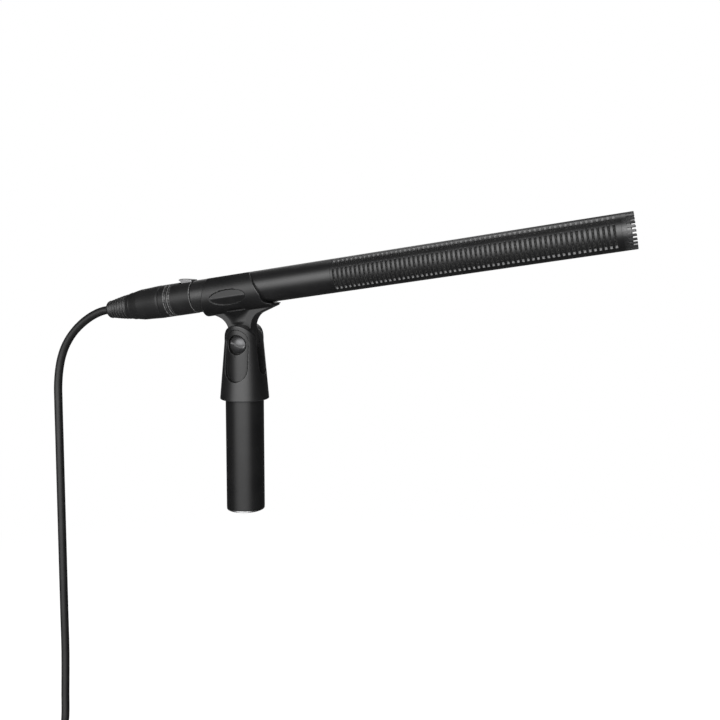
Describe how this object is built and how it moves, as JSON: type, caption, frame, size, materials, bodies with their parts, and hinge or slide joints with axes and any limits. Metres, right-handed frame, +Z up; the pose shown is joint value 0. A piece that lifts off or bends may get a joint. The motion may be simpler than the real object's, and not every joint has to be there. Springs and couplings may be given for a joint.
{
  "type": "shotgun microphone",
  "caption": "Slotted-tube shotgun microphone in a tilting stand clip on a short threaded stand tube, with a latching cable plug and a coiled lead.",
  "frame": {"origin": "centre of the threaded hole's mouth at the foot of the stand tube", "axes": "+Z up along the stand tube; the microphone points along +X, tilted up; the clip pivot runs along Y"},
  "size_m": [0.4219, 0.0314, 0.5076],
  "materials": {
    "satin_black": "satin black paint on brass tube, fine grain",
    "acoustic_cloth": "dark woven acoustic cloth",
    "screen_mesh": "fine dark woven wire",
    "plated_steel": "dull nickel plate",
    "black_plastic": "moulded black plastic",
    "gold_contact": "gold plate",
    "circuit_board": "green solder mask",
    "component": "moulded component bodies",
    "white_plastic": "natural white plastic",
    "brass": "turned brass",
    "black_rubber": "soft black rubber",
    "red_wire": "red insulation",
    "blue_wire": "blue insulation",
    "clip_plastic": "moulded black nylon, satin",
    "screw_steel": "blackened steel",
    "stand_paint": "satin black powder coat",
    "plug_black": "black chromed zinc, satin",
    "latch_metal": "black plated latch, lighter where thumbed",
    "bushing_plastic": "moulded black plastic",
    "relief_rubber": "ribbed black rubber",
    "cable_jacket": "matt black cable jacket",
    "tie_fabric": "black hook and loop strap"
  },
  "bodies": {
    "stand": {"stand_tube": "stand_paint", "post_stud": "plated_steel", "post_socket": "plated_steel"},
    "clip": {"clip_base": "clip_plastic", "thread_insert": "brass", "pivot_nut": "plated_steel"},
    "screw": {"pivot_screw": "screw_steel"},
    "cradle": {"clip_cradle": "clip_plastic"},
    "microphone": {"body_tube": "satin_black", "interference_tube": "satin_black", "acoustic_liner": "acoustic_cloth", "front_crown": "satin_black", "front_screen": "screen_mesh", "connector_shell": "plated_steel", "pin_insert": "black_plastic", "contact_pins": "gold_contact", "circuit_board": "circuit_board", "board_parts": "component", "rear_carrier": "black_plastic", "front_carrier": "black_plastic", "capsule_housing": "plated_steel", "capsule_insulator": "white_plastic", "backplate": "gold_contact", "diaphragm": "gold_contact", "diaphragm_ring": "brass", "capsule_seal": "black_rubber", "capsule_leads": "red_wire", "output_leads": "blue_wire"},
    "plug": {"plug_shell": "plug_black", "latch_spring": "plated_steel", "socket_insert": "black_plastic", "socket_contacts": "gold_contact", "cable_chuck": "white_plastic", "plug_bushing": "bushing_plastic", "strain_relief": "relief_rubber"},
    "latch": {"latch_button": "latch_metal"},
    "lead": {"cable": "cable_jacket", "cable_coil": "cable_jacket", "coil_tie": "tie_fabric", "far_shell": "plug_black", "far_insert": "black_plastic", "far_pins": "gold_contact", "far_chuck": "white_plastic", "far_bushing": "bushing_plastic", "far_relief": "relief_rubber"}
  },
  "joints": [
    {"name": "clip_swivel", "type": "hinge", "parent": "stand", "child": "clip", "pos_m": [0, 0, 0.075], "axis": [0, 0, 1], "range_deg": [-180, 180]},
    {"name": "tilt", "type": "hinge", "parent": "clip", "child": "cradle", "pos_m": [0, 0, 0.1075], "axis": [0, -1, 0], "range_deg": [-60, 75]},
    {"name": "screw_turn", "type": "hinge", "parent": "clip", "child": "screw", "pos_m": [0, 0, 0.1075], "axis": [0, -1, 0], "continuous": true},
    {"name": "mic_slide", "type": "slide", "parent": "cradle", "child": "microphone", "axis": [0.9884, 0, 0.1521], "range_m": [-0.035, 0.005]},
    {"name": "plug_pull", "type": "slide", "parent": "microphone", "child": "plug", "axis": [-0.9884, 0, -0.1521], "range_m": [0, 0.018]},
    {"name": "latch_press", "type": "slide", "parent": "plug", "child": "latch", "axis": [0.1521, 0, -0.9884], "range_m": [0, 0.0011], "stiffness_N_per_m": 600, "deforming": ["latch_spring"]},
    {"name": "lead_swing", "type": "hinge", "parent": "plug", "child": "lead", "pos_m": [-0.10324, 0, 0.12611], "axis": [0, -1, 0], "range_deg": [-75, 60]}
  ],
  "couplings": [
    {"joint": "lead_swing", "follows": "tilt", "ratio": -1}
  ]
}
